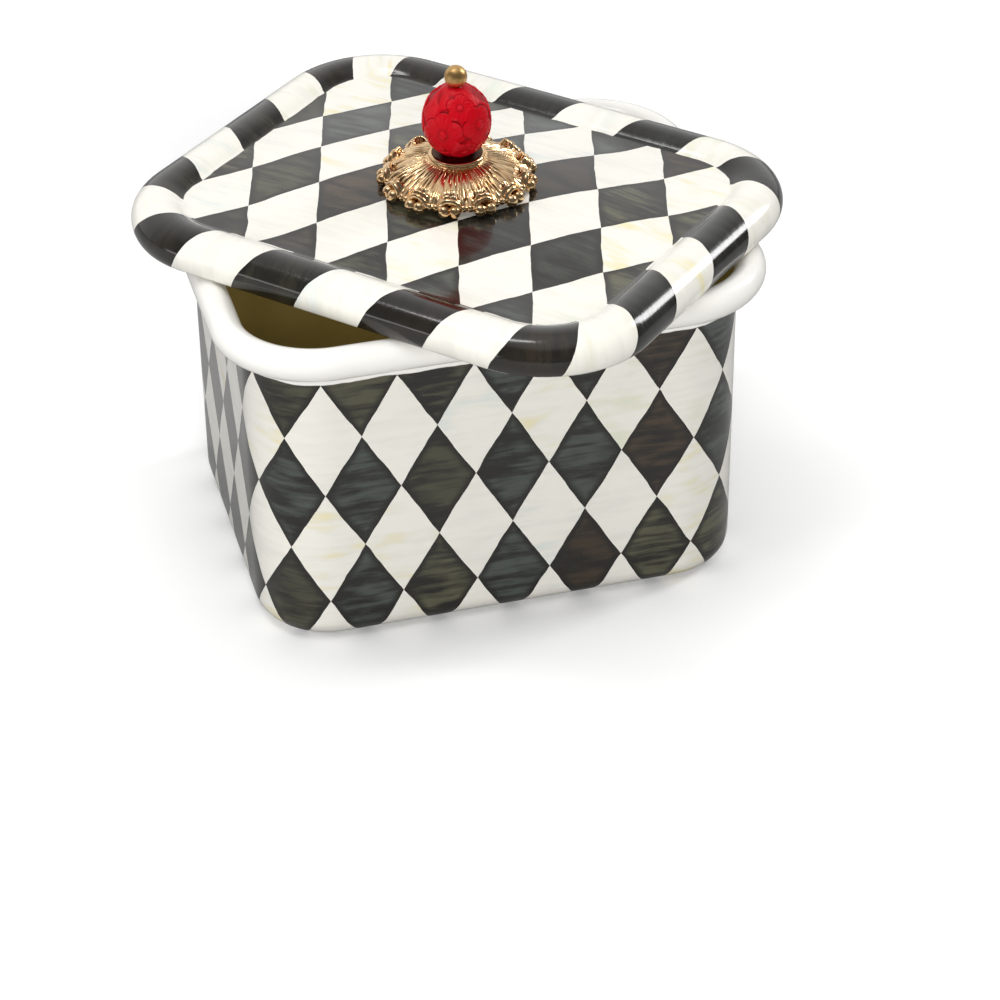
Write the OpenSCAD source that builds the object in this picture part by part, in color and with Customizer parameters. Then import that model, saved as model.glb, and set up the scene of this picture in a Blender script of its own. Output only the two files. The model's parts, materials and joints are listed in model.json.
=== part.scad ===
// Enamelled steel card box: a pressed tub with a rolled rim, and a loose lid with a beaded knob.
// Millimetres, +Z up. The origin is the middle of the tub's underside, and the front faces -Y.

/* [Tub] */
// Width of the tub's wall, left to right
tub_w = 164; // [140:1:220]
// Depth of the tub's wall, front to back
tub_d = 129; // [110:1:180]
// Height of the tub to the crest of its rolled rim
tub_h = 115; // [90:0.1:160]
// Outer radius of the tub's upright corners
tub_corner_r = 25; // [18:0.5:40]
// Outer radius where the wall turns into the floor
tub_bottom_r = 8; // [4:0.5:14]
// Thickness of the tub's enamelled sheet
tub_sheet = 1.2; // [0.8:0.1:2]
// Outer radius of the rolled rim
rim_r = 5.2; // [3:0.1:7]

/* [Lid] */
// How far the lid's rolled edge stands out past the rim
lid_overhang = 3.2; // [2.6:0.1:6]
// Thickness of the lid's enamelled sheet
lid_sheet = 1.2; // [0.8:0.1:2]
// Outer radius of the lid's rolled edge
lid_roll_r = 6.9; // [6:0.1:9]
// Outer radius over the crest of the rolled edge
lid_crest_r = 10.5; // [9:0.1:14]
// Height of the rolled edge's crest above the panel's edge
lid_crest = 3.1; // [1:0.1:5]
// Depth of the lid from its panel's edge down to its lowest edge
lid_skirt = 9; // [6:0.1:11]
// Radius of the crease between the panel and the rolled edge
lid_crease_r = 3; // [1.5:0.1:5]
// Height of the panel's crown above its edge
lid_crown = 4.5; // [2:0.1:8]
// Width of the flat border round the crown, at its narrowest
lid_border = 1.5; // [1.2:0.1:6]
// Gap between the rim's crest and the lid's lowest edge
lid_gap = 0.4; // [0.3:0.1:2]
// Angle by which the lid lies askew on the tub
lid_turn = 47; // [0:1:60]

/* [Rosette] */
// Diameter over the balls of the cast rosette
rosette_d = 53; // [40:0.5:70]
// Height of the rosette to the top of the ring round its neck
rosette_h = 10.6; // [9:0.1:15]
// Diameter of the rosette's neck
rosette_neck_d = 18.8; // [16:0.1:22]
// Thickness of the ring round the neck
neck_ring_d = 1.7; // [1:0.1:2.2]
// Thickness of the casting
rosette_wall = 1.8; // [1.2:0.1:2.6]
// Height of the dome's lower edge above the middle of the panel
rosette_edge_h = 3.4; // [2.8:0.1:5]
// Number of lobes round the edge
rosette_lobes = 13; // [6:1:14]
// Angle of the first lobe from the lid's right side
lobe_start = 19; // [0:1:60]
// Diameter of the pair of large balls on a lobe
lobe_ball_d = 4.2; // [2.5:0.1:5]
// Diameter of the two small balls between lobes
small_ball_d = 2.6; // [1.5:0.1:3.5]
// Thickness of the scroll that arches over a lobe's balls
scroll_d = 1.6; // [1:0.1:2.2]

/* [Knob] */
// Diameter of the carved bead
bead_d = 23; // [18:0.5:30]
// Height of the carved bead
bead_h = 25.2; // [18:0.1:34]
// Diameter of the bead cup at its lip
cup_d = 16.8; // [15:0.1:17.2]
// Height of the bead cup
cup_h = 1.6; // [1.5:0.1:3]
// Depth of the cup's seat below the top of the ring round the neck
cup_seat = 1.5; // [1:0.1:1.6]
// Depth of the cup's dished top in its middle
cup_dish = 0.4; // [0.2:0.1:0.8]
// Depth by which the bead's foot sits below the cup's lip
bead_sink = 1.2; // [0.8:0.1:1.3]
// Diameter of the ball on top
ball_d = 7.4; // [6:0.1:12]

/* [Bolt] */
// Diameter of the threaded rod
rod_d = 4; // [3:0.1:4.4]
// Pitch of the rod's thread
thread_pitch = 0.7; // [0.5:0.05:1]
// Length of rod that stands out under the nut
rod_tail = 2; // [1:0.1:4]
// Nut size across its flats
nut_af = 7; // [6:0.1:9]
// Height of the nut
nut_h = 3.2; // [2:0.1:5]
// Diameter of the spring washer
lock_d = 7.2; // [6:0.1:9]
// Thickness of the spring washer
lock_t = 1; // [0.6:0.1:1.5]
// Diameter of the flat washer
washer_d = 12; // [9:0.1:16]
// Thickness of the flat washer
washer_t = 1; // [0.6:0.1:1.6]
// Diameter of the soft gasket under the lid
gasket_d = 14; // [10:0.1:18]
// Thickness of the soft gasket
gasket_t = 1.5; // [1:0.1:2.5]

/* [Fits] */
// Clearance all round the rod in each bore
bore_gap = 0.3; // [0.2:0.05:0.5]
// Gap between pieces that lie against each other
seat_gap = 0.1; // [0.05:0.05:0.3]

/* [Hidden] */
$fn = 96;
overrun = 1;
// Angle at which the rim's roll ends, measured from its outermost point
rim_curl_end = -150;
// Angle off the level at which the rolled edge's radius turns into the crest's
lid_shoulder = 50;
// Angle of one flat on the lid's curved edge
arc_step = 8;
// How far the crown's sheet runs on into the panel's border
crown_lap = 1;
// Gap in the spring washer
lock_split = 0.8;
// Depth of the thread as a share of its pitch
thread_share = 0.45;
// Where the lobes' balls stand, as shares of the angle from one lobe to the next
lobe_ball_share = 0.14;
small_ball_share = 0.4;
// Radius of the dome's lower edge as a share of the rosette's radius
dome_edge_share = 0.9;
// Radius of the post that stands on the lid as a share of the neck's radius
post_share = 0.72;
// Number of steps in a worked-out outline
outline_steps = 14;
// Radius of the cup's foot as a share of the lip's
cup_foot_share = 0.88;

// Places in the tub
rim_z = tub_h - rim_r;
rim_out = 2 * rim_r - tub_sheet;
// Places in the lid
lid_hx = tub_w / 2 + rim_out + lid_overhang;
lid_hy = tub_d / 2 + rim_out + lid_overhang;
lid_corner_r = tub_corner_r + rim_out + lid_overhang;
lid_low_z = tub_h + lid_gap;
panel_z = lid_low_z + lid_skirt;
roll_x = lid_corner_r - lid_roll_r;
roll_z = panel_z + lid_crest - lid_crest_r + (lid_crest_r - lid_roll_r) * sin(lid_shoulder);
roll_end = -asin((roll_z - lid_low_z) / lid_roll_r);
crest_x = roll_x - (lid_crest_r - lid_roll_r) * cos(lid_shoulder);
crest_z = panel_z + lid_crest - lid_crest_r;
crease_z = panel_z + lid_crease_r;
crease_x = crest_x - sqrt(pow(lid_crest_r + lid_crease_r, 2) - pow(crease_z - crest_z, 2));
crease_angle = atan2(crease_z - crest_z, crease_x - crest_x);
crown_x = lid_hx - lid_corner_r + crease_x - lid_border;
crown_y = lid_hy - lid_corner_r + crease_x - lid_border;
crown_r = (pow(crown_x, 2) + pow(lid_crown, 2)) / (2 * lid_crown);
under_z = panel_z - lid_sheet;
crown_z = panel_z + lid_crown;
// Places up the knob
bore_r = rod_d / 2 + bore_gap;
rosette_z = crown_z + seat_gap;
seat_h = rosette_h - cup_seat;
cup_z = rosette_z + seat_h + seat_gap;
bead_z = cup_z + cup_h - bead_sink + bead_h / 2;
bead_r = bead_d / 2;
bead_half = bead_h / 2;
ball_r = ball_d / 2;
bead_hole_z = bead_z + bead_half * sqrt(1 - pow(bore_r / bead_r, 2));
ball_z = bead_hole_z + sqrt(pow(ball_r, 2) - pow(bore_r, 2)) + seat_gap;
// Places down the bolt
gasket_z = crown_z - lid_sheet - seat_gap - gasket_t;
washer_z = gasket_z - seat_gap - washer_t;
lock_z = washer_z - seat_gap - lock_t;
nut_z = lock_z - seat_gap - nut_h;
rod_z = nut_z - rod_tail;

// Part of a ring between two angles, less than a full turn apart
module arc_ring(radius, thickness, from, to) {
    reach = 2 * radius;
    open = from + 360 - to;
    difference() {
        circle(radius);
        circle(radius - thickness);
        polygon([[0, 0], for (i = [0 : 4]) reach * [cos(to + open * i / 4), sin(to + open * i / 4)]]);
    }
}

// Sweeps an outline round a rectangle with round corners
module swept(half_x, half_y, corner_r) {
    cx = half_x - corner_r;
    cy = half_y - corner_r;
    for (sx = [0, 1], sy = [0, 1]) {
        mirror([sx, 0, 0]) mirror([0, sy, 0]) translate([cx, cy, 0])
            rotate_extrude(angle = 90) children();
    }
    for (s = [0, 1]) {
        mirror([s, 0, 0]) translate([cx, 0, 0]) rotate([90, 0, 0])
            linear_extrude(2 * cy, center = true) children();
        mirror([0, s, 0]) translate([0, cy, 0]) rotate([90, 0, 90])
            linear_extrude(2 * cx, center = true) children();
    }
}

// A flat plate between the centres of the corners
module middle_plate(half_x, half_y, corner_r, top_z, thickness) {
    size = [2 * (half_x - corner_r), 2 * (half_y - corner_r), thickness];
    translate([-size.x / 2, -size.y / 2, top_z - thickness]) cube(size);
}

// The tub's sheet in section: floor, bottom curve, wall and rolled rim
module tub_section() {
    turn_x = tub_corner_r - tub_bottom_r;
    square([turn_x, tub_sheet]);
    translate([turn_x, tub_bottom_r]) arc_ring(tub_bottom_r, tub_sheet, -90, 0);
    translate([tub_corner_r - tub_sheet, tub_bottom_r]) square([tub_sheet, rim_z - tub_bottom_r]);
    translate([tub_corner_r - tub_sheet + rim_r, rim_z]) arc_ring(rim_r, tub_sheet, rim_curl_end, 180);
}

// Points on an arc from one angle up to another, without the last
function arc_points(x, z, radius, from, to) = let (steps = ceil(abs(to - from) / arc_step))
    [for (i = [0 : steps - 1]) let (a = from + (to - from) * i / steps)
        [x + radius * cos(a), z + radius * sin(a)]];

// One side of the lid's sheet, from the panel over the crest to the curled edge
function lid_side(inset) = [
    [0, panel_z - inset],
    each arc_points(crease_x, crease_z, lid_crease_r + inset, -90, crease_angle - 180),
    each arc_points(crest_x, crest_z, lid_crest_r - inset, crease_angle, lid_shoulder),
    each arc_points(roll_x, roll_z, lid_roll_r - inset, lid_shoulder, roll_end),
    [roll_x + (lid_roll_r - inset) * cos(roll_end), roll_z + (lid_roll_r - inset) * sin(roll_end)]];

// The lid's sheet in section: panel, crease and rolled edge
module lid_section() {
    under = lid_side(lid_sheet);
    polygon([each lid_side(0), for (i = [len(under) - 1 : -1 : 0]) under[i]]);
}

// Points on the crown's arc from its middle outwards, on the upper or the under side
function cap_points(radius) = let (step = (crown_x + crown_lap) / outline_steps)
    [for (i = [0 : outline_steps]) [step * i, sqrt(pow(radius, 2) - pow(step * i, 2))]];

// The panel's crown: a cap of sheet, drawn in to an oval
module crown() {
    under = cap_points(crown_r - lid_sheet);
    scale([1, crown_y / crown_x, 1]) translate([0, 0, crown_z - crown_r]) rotate_extrude()
        polygon([each cap_points(crown_r), for (i = [outline_steps : -1 : 0]) under[i]]);
}

module tub() {
    color("ivory") {
        swept(tub_w / 2, tub_d / 2, tub_corner_r) tub_section();
        middle_plate(tub_w / 2, tub_d / 2, tub_corner_r, tub_sheet, tub_sheet);
    }
}

module lid() {
    color("dimgray") rotate(-lid_turn) difference() {
        union() {
            difference() {
                union() {
                    swept(lid_hx, lid_hy, lid_corner_r) lid_section();
                    middle_plate(lid_hx, lid_hy, lid_corner_r, panel_z, lid_sheet);
                }
                // The crown takes the flat panel's place
                translate([0, 0, under_z - overrun]) scale([1, crown_y / crown_x, 1])
                    cylinder(h = lid_sheet + 2 * overrun, r = crown_x - crown_lap);
            }
            crown();
        }
        translate([0, 0, crown_z - lid_sheet - overrun])
            cylinder(h = lid_sheet + 2 * overrun, r = bore_r);
    }
}

// Height of the rosette's dome above its edge at a share of the way out from the neck
function dome_rise(share) = 1 - pow(share, 1.6);

// The dome's outline from neck to edge, as points on the face or on the hollow side
function dome_points(inset) = let (
    neck_r = rosette_neck_d / 2,
    edge_r = dome_edge_share * rosette_d / 2 - inset,
    rise = rosette_h - neck_ring_d - rosette_edge_h)
    [for (i = [0 : outline_steps]) let (s = i / outline_steps)
        [neck_r + (edge_r - neck_r) * s, rosette_edge_h - inset + rise * dome_rise(s)]];

module rosette() {
    neck_r = rosette_neck_d / 2;
    ring_r = neck_ring_d / 2;
    post_r = post_share * neck_r;
    step = 360 / rosette_lobes;
    lobe_r = (rosette_d - lobe_ball_d) / 2;
    // The crown falls away under the lobes, so their balls hang lower than the post
    lobe_h = lobe_ball_d / 2 - crown_r + sqrt(pow(crown_r, 2) - pow(lobe_r, 2));
    color("goldenrod") rotate(-lid_turn) translate([0, 0, rosette_z]) {
        difference() {
            union() {
                // Post, seat for the cup, and dome, hollow underneath
                rotate_extrude() polygon([
                    [0, 0],
                    [post_r, 0],
                    [post_r, dome_points(rosette_wall)[0].y],
                    each dome_points(rosette_wall),
                    each [for (i = [outline_steps : -1 : 0]) dome_points(0)[i]],
                    [neck_r - ring_r, seat_h],
                    [0, seat_h]]);
                // Ring round the neck
                translate([0, 0, rosette_h - ring_r]) rotate_extrude()
                    translate([neck_r - ring_r, 0]) circle(ring_r);
            }
            translate([0, 0, -overrun]) cylinder(h = rosette_h + 2 * overrun, r = bore_r);
        }
        for (lobe = [0 : rosette_lobes - 1]) rotate(lobe_start + lobe * step) {
            // A pair of large balls under a scroll, then two small balls
            for (side = [-1, 1]) {
                rotate(side * lobe_ball_share * step) translate([lobe_r, 0, lobe_h])
                    sphere(d = lobe_ball_d);
                rotate(side * small_ball_share * step)
                    translate([lobe_r - small_ball_d / 2, 0, rosette_edge_h - small_ball_d / 2])
                        sphere(d = small_ball_d);
            }
            translate([lobe_r - lobe_ball_d / 2, 0, lobe_h]) rotate([90, 0, 90])
                rotate_extrude(angle = 180) translate([lobe_ball_d - scroll_d / 2, 0])
                    circle(d = scroll_d);
        }
    }
}

module bead_cup() {
    lip_r = cup_d / 2;
    foot_r = cup_foot_share * lip_r;
    color("saddlebrown") translate([0, 0, cup_z]) difference() {
        rotate_extrude() polygon([
            [0, 0],
            for (i = [0 : outline_steps]) let (a = 90 * i / outline_steps)
                [lip_r - (lip_r - foot_r) * cos(a), cup_h * sin(a)],
            [0, cup_h - cup_dish]]);
        translate([0, 0, bead_z - cup_z]) bead_solid(seat_gap);
        translate([0, 0, -overrun]) cylinder(h = cup_h, r = bore_r);
    }
}

// The bead as a full egg shape, with a margin added all round
module bead_solid(margin) {
    rotate_extrude() polygon([for (i = [0 : 4 * outline_steps]) let (a = -90 + 45 * i / outline_steps)
        [(bead_r + margin) * cos(a), (bead_half + margin) * sin(a)]]);
}

module carved_bead() {
    color("crimson") translate([0, 0, bead_z]) difference() {
        bead_solid(0);
        translate([0, 0, -bead_half - overrun]) cylinder(h = bead_h + 2 * overrun, r = bore_r);
    }
}

module finial_ball() {
    color("darkgoldenrod") translate([0, 0, ball_z]) difference() {
        sphere(ball_r);
        translate([0, 0, -ball_r - overrun]) cylinder(h = ball_r + overrun, r = rod_d / 2 + seat_gap);
    }
}

module threaded_rod() {
    length = ball_z - seat_gap - rod_z;
    turns = floor(length / thread_pitch);
    root_r = rod_d / 2 - thread_share * thread_pitch;
    color("silver") translate([0, 0, rod_z]) rotate_extrude() polygon([
        [0, 0],
        for (i = [0 : turns - 1]) each [
            [root_r, thread_pitch * i],
            [rod_d / 2, thread_pitch * (i + 0.5)]],
        [root_r, thread_pitch * turns],
        [0, thread_pitch * turns]]);
}

// A flat ring standing on a given height
module washer(outer_d, thickness, base_z) {
    translate([0, 0, base_z]) difference() {
        cylinder(h = thickness, d = outer_d);
        translate([0, 0, -overrun]) cylinder(h = thickness + 2 * overrun, r = rod_d / 2 + seat_gap);
    }
}

module under_gasket() {
    color("black") washer(gasket_d, gasket_t, gasket_z);
}

module flat_washer() {
    color("silver") washer(washer_d, washer_t, washer_z);
}

module lock_washer() {
    color("gray") difference() {
        washer(lock_d, lock_t, lock_z);
        translate([0, -lock_split / 2, lock_z - overrun]) cube([lock_d, lock_split, lock_t + 2 * overrun]);
    }
}

module hex_nut() {
    flat_r = nut_af / 2;
    point_r = flat_r / cos(30);
    slope = (point_r - flat_r) / 2;
    color("silver") translate([0, 0, nut_z]) difference() {
        intersection() {
            cylinder(h = nut_h, r = point_r, $fn = 6);
            // Chamfers on the six corners
            rotate_extrude() polygon([[0, 0], [flat_r, 0], [point_r + slope, 2 * slope],
                                      [point_r + slope, nut_h - 2 * slope], [flat_r, nut_h], [0, nut_h]]);
        }
        translate([0, 0, -overrun]) cylinder(h = nut_h + 2 * overrun, r = rod_d / 2 + seat_gap);
    }
}

tub();
lid();
rosette();
bead_cup();
carved_bead();
finial_ball();
threaded_rod();
under_gasket();
flat_washer();
lock_washer();
hex_nut();
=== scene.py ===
"""Looks of the enamelled recipe box: a painted tub with a rolled rim, and a loose lid with a beaded knob.

Everything is in metres, +Z up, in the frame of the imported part. The long front wall faces -Y.
"""

import json
import logging
import math
from dataclasses import dataclass
from enum import IntEnum
from typing import Iterable

import bmesh
import bpy
from bmesh.types import BMEdge, BMesh, BMVert
from bpy.types import ID, Material, Mesh, NodeSocket, NodeTree, Object
from mathutils import Matrix, Vector

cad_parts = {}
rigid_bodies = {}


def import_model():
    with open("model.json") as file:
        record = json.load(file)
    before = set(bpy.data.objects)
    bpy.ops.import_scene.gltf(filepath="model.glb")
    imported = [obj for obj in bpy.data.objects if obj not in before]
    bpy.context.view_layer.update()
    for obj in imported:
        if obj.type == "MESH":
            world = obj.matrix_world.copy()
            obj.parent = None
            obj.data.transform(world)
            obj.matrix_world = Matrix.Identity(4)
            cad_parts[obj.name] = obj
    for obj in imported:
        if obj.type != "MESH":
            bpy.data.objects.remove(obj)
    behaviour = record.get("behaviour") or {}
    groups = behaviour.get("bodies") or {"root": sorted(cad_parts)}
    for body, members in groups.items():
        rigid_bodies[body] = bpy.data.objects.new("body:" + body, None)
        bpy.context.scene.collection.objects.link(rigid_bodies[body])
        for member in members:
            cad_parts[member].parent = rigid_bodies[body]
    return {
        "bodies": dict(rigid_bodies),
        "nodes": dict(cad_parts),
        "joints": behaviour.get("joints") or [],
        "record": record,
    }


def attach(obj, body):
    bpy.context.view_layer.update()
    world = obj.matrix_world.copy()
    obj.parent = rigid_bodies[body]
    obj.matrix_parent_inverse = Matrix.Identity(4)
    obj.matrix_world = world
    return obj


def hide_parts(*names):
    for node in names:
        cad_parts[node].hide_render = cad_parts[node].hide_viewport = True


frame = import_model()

log = logging.getLogger("recipe_box")

MM = 0.001
LID_TURN = math.radians(-47)


def colour(code: str) -> tuple[float, float, float, float]:
    """Turns an sRGB hex code into Blender's linear colour.

    Args:
        code: a code such as "#f0ecdc".

    Returns:
        Red, green, blue and an alpha of 1.
    """
    parts = [int(code[i : i + 2], 16) / 255 for i in (1, 3, 5)]
    linear = [c / 12.92 if c <= 0.04045 else ((c + 0.055) / 1.055) ** 2.4 for c in parts]
    return (*linear, 1.0)


def smooth(low: float, high: float, value: float) -> float:
    """Rises smoothly from 0 at low to 1 at high."""
    t = min(1.0, max(0.0, (value - low) / (high - low)))
    return t * t * (3 - 2 * t)


class MixSocket(IntEnum):
    """Sockets of the colour Mix node, which its names don't tell apart."""

    FACTOR = 0
    RESULT = 2
    LOW = 6
    HIGH = 7


class Graph:
    """A node tree, and the calls that build on it."""

    def __init__(self, tree: NodeTree) -> None:
        """Starts from a tree that exists."""
        self.tree = tree

    def add(self, kind: str, inputs: dict | Iterable = (), out: int | str = 0, **settings: object) -> NodeSocket:
        """Adds a node with its settings and links.

        Args:
            kind: the node's type, without its ShaderNode prefix.
            inputs: values, or sockets that feed it, in the order of its own sockets, or by their names or indices.
            out: the name or index of the output that is wanted.
            settings: the node's own properties.

        Returns:
            The wanted output.
        """
        node = self.tree.nodes.new("ShaderNode" + kind)
        for key, value in settings.items():
            setattr(node, key, value)
        for key, value in inputs.items() if isinstance(inputs, dict) else enumerate(inputs):
            self.feed(node.inputs[key], value)
        return node.outputs[out]

    def feed(self, socket: NodeSocket, value: object) -> None:
        """Joins a socket to another one, or sets its value.

        Args:
            socket: the socket that is fed.
            value: the socket that feeds it, or a plain value.
        """
        if isinstance(value, NodeSocket):
            self.tree.links.new(value, socket)
        else:
            socket.default_value = value

    def mask(self, *rises: tuple[object, float, float], strength: float = 1.0) -> NodeSocket:
        """Makes a mask that is full only where each of some values has risen.

        Args:
            rises: each value, with where its smooth rise starts and ends.
            strength: the mask's own value where it is full.

        Returns:
            The mask.
        """
        full = strength
        for value, low, high in rises:
            rise = self.add("MapRange", (value, low, high), interpolation_type="SMOOTHSTEP")
            full = self.add("Math", (rise, full), operation="MULTIPLY")
        return full

    def coated(self, base: object, *coats: tuple[object, object]) -> NodeSocket:
        """Lays coats over a base, each where its mask is full.

        Args:
            base: the lowest colour, as a hex code or a socket.
            coats: each mask with the colour that lies over it, from the lowest up.

        Returns:
            The colour of it all.
        """
        for mask, tone in coats:
            low, high = (colour(c) if isinstance(c, str) else c for c in (base, tone))
            inputs = {MixSocket.FACTOR: mask, MixSocket.LOW: low, MixSocket.HIGH: high}
            base = self.add("Mix", inputs, MixSocket.RESULT, data_type="RGBA")
        return base

    def grain(
        self,
        place: object,
        size: float | tuple[float, float, float],
        detail: float = 2.0,
        roughness: float = 0.5,
        shift: object = (0, 0, 0),
        out: str = "Fac",
    ) -> NodeSocket:
        """Makes an uneven field of a real size.

        Args:
            place: the place on the piece, in metres.
            size: how long a spot is, or how long along each axis.
            detail: how many finer layers lie in it.
            roughness: how strong these are.
            shift: what moves the whole field.
            out: "Fac" for a number around 0.5, or "Color" for three.

        Returns:
            The field.
        """
        sizes = size if isinstance(size, tuple) else (size,) * 3
        grid = self.add("VectorMath", (place, tuple(1 / s for s in sizes), shift), operation="MULTIPLY_ADD")
        inputs = {"Vector": grid, "Scale": 1.0, "Detail": detail, "Roughness": roughness}
        return self.add("TexNoise", inputs, out)


class Shader(Graph):
    """A material with its node graph, and the place on the piece in object coordinates."""

    def __init__(self, name: str) -> None:
        """Makes the material with its Principled shader."""
        self.material = bpy.data.materials.new(name)
        self.material.use_nodes = True
        super().__init__(self.material.node_tree)
        self.surface = self.tree.nodes["Principled BSDF"]
        self.place = self.add("TexCoord", out="Object")

    def finish(self, **inputs: object) -> Material:
        """Sets the Principled shader's sockets.

        Args:
            inputs: each socket's name, with _ for a space, and its value or the socket that feeds it.

        Returns:
            The material.
        """
        for key, value in inputs.items():
            self.feed(self.surface.inputs[key.replace("_", " ")], value)
        return self.material


@dataclass(frozen=True)
class HandPaint:
    """Vitreous enamel fired on pressed steel, with black and ivory tiles painted on by hand."""

    # The brush leaves streaks and a faint relief, and the glassy coat gives sharp highlights that waver a little.
    ivory: str = "#f5f2e8"
    ivory_grey: str = "#e6e4db"
    ivory_warm: str = "#f0e4a8"
    ivory_cool: str = "#dbe8e4"
    black: str = "#1f1d19"
    black_olive: str = "#5b5a46"
    black_brown: str = "#4b3d2e"
    black_blue: str = "#4a504c"
    ground: str = "#f9f7f1"
    olive: str = "#7c6b39"
    olive_pale: str = "#857442"
    wobble: float = 0.9 * MM
    wobble_length: float = 14 * MM
    edge_stray: float = 1.5 * MM
    edge_length: float = 9 * MM
    paint_edge: float = 0.3 * MM
    olive_edge: float = 1.2 * MM
    under_edge: float = 1.0 * MM
    flat_run: float = 0.5 * MM
    stroke: tuple[float, float] = (24 * MM, 2.4 * MM)
    patch: tuple[float, float] = (17 * MM, 7 * MM)
    cloud: float = 22 * MM
    relief: float = 0.05 * MM
    ripple: float = 0.06 * MM
    ripple_length: float = 7 * MM
    roughness: tuple[float, float] = (0.1, 0.24)
    coat: float = 0.35
    coat_roughness: float = 0.05
    edge_thinned: float = 0.25

    def wobbled(self, shader: Shader, place: object) -> NodeSocket:
        """Shifts a place a little to and fro, as a hand-held brush strays from its line.

        Args:
            shader: the material's graph.
            place: the place, in metres.

        Returns:
            The shifted place.
        """
        field = shader.grain(place, self.wobble_length, 2.5, out="Color")
        stray = shader.add("VectorMath", (field, (0.5, 0.5, 0.5)), operation="SUBTRACT")
        reach = (2 * self.wobble, 2 * self.wobble, 0)
        return shader.add("VectorMath", (stray, reach, place), operation="MULTIPLY_ADD")

    def unsteady(self, shader: Shader, run: object) -> NodeSocket:
        """A run along the sheet that strays a little, for an edge painted by hand."""
        stray = shader.add("Math", (shader.grain(shader.place, self.edge_length), 0.5), operation="SUBTRACT")
        return shader.add("Math", (stray, self.edge_stray, run), operation="MULTIPLY_ADD")

    def diamonds(self, shader: Shader, place: object, width: float, height: float) -> tuple:
        """Lays a harlequin of upright diamonds.

        Args:
            shader: the material's graph.
            place: the flat place, in metres.
            width: a diamond's width.
            height: a diamond's height.

        Returns:
            The black diamonds' mask, the diamond's own number as a vector, and how near its edge is, from 0 on it.
        """
        grid = shader.add("VectorMath", (place, (1 / width, 1 / height, 1)), operation="MULTIPLY")
        across, up, _ = shader.add("SeparateXYZ", (grid,)).node.outputs
        first, second = (shader.add("Math", (across, up), operation=way) for way in ("ADD", "SUBTRACT"))
        return self.tiles(shader, first, second)

    def tiles(self, shader: Shader, first: object, second: object) -> tuple:
        """Parts a plane along two families of lines, black and ivory in turn.

        Args:
            shader: the material's graph.
            first: the number that steps at each line of the first family.
            second: the same for the second family.

        Returns:
            What diamonds returns.
        """
        rows = [shader.add("Math", (line,), operation="FLOOR") for line in (first, second)]
        black = shader.add("Math", (shader.add("Math", rows, operation="ADD"), 2.0), operation="FLOORED_MODULO")
        edges = [shader.add("Math", (line, 0.5), operation="PINGPONG") for line in (first, second)]
        near = shader.add("Math", edges, operation="MINIMUM")
        return black, shader.add("CombineXYZ", (*rows, 0.37)), near

    def brushed(
        self, shader: Shader, place: object, black: object, number: object, near: object, thinned: float = 1.0
    ) -> tuple:
        """Colours the tiles with brush strokes.

        Args:
            shader: the material's graph.
            place: the flat place, with strokes along its first axis.
            black: the black tiles' mask.
            number: the tile's number as a vector.
            near: how near the tile's edge is.
            thinned: how much the ground shows through the black.

        Returns:
            The colour, and the strokes' height from 0 to 1.
        """
        chance = shader.add("TexWhiteNoise", {"Vector": number}, "Color", noise_dimensions="3D")
        hue, tone, third = shader.add("SeparateXYZ", (chance,)).node.outputs
        own = shader.add("VectorMath", {0: chance, "Scale": 9.0}, operation="SCALE")
        strokes = shader.grain(place, (*self.stroke, 1), 5.0, 0.6, own)
        patches = shader.grain(place, (*self.patch, 1), shift=own)
        load = shader.add("Math", (patches, 0.45), operation="MULTIPLY")
        load = shader.add("Math", (strokes, 0.55, load), operation="MULTIPLY_ADD")

        blue, brown = shader.mask((hue, 0.5, 0.6)), shader.mask((hue, 0.82, 0.88))
        tint = shader.coated(self.black_olive, (blue, self.black_blue), (brown, self.black_brown))
        thin = shader.mask((load, 0.4, 0.62), (near, 0.0, 0.15), (tone, -0.6, 0.9), strength=thinned)
        dark = shader.coated(self.black, (thin, tint))

        fleck = ((patches, 0.5, 0.72), (strokes, 0.32, 0.62))
        grey = shader.mask((load, 0.42, 0.64), strength=0.55)
        warm = shader.mask(*fleck, (hue, 0.45, 0.7), strength=0.75)
        cool = shader.mask(*fleck, (third, 0.55, 0.75), strength=0.7)
        coats = ((grey, self.ivory_grey), (warm, self.ivory_warm), (cool, self.ivory_cool))
        return shader.coated(shader.coated(self.ivory, *coats), (black, dark)), strokes

    def tub(self, width: float, height: float, paint_top: float, olive_from: float) -> Material:
        """The tub's enamel: diamonds outside up to the white band, a white rim, and olive inside.

        Args:
            width: a diamond's width round the wall.
            height: a diamond's height.
            paint_top: where the paint ends, as a run along the sheet.
            olive_from: where the olive starts, as a run along the sheet.

        Returns:
            The material.
        """
        # The white of the rim and the underside has no strokes, so its gloss is the evenest of the box.
        shader = Shader("tub_hand_painted_enamel")
        path = shader.add("Attribute", out="Fac", attribute_name="path")
        stray = self.wobbled(shader, shader.add("UVMap", uv_map="wrap"))
        painted, strokes = self.brushed(shader, stray, *self.diamonds(shader, stray, width, height))
        edge = self.unsteady(shader, path)
        underside = shader.add("Math", (path, self.flat_run), operation="LESS_THAN")
        above = shader.mask((edge, paint_top, paint_top + self.paint_edge))
        bare = shader.add("Math", (above, underside), operation="MAXIMUM")
        inside = shader.mask((edge, olive_from, olive_from + self.olive_edge))
        skin = shader.coated(painted, (bare, self.ground), (inside, self.olive_skin(shader)))
        return self.glaze(shader, skin, shader.coated(strokes, (bare, (0.5, 0.5, 0.5, 1))))

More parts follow.
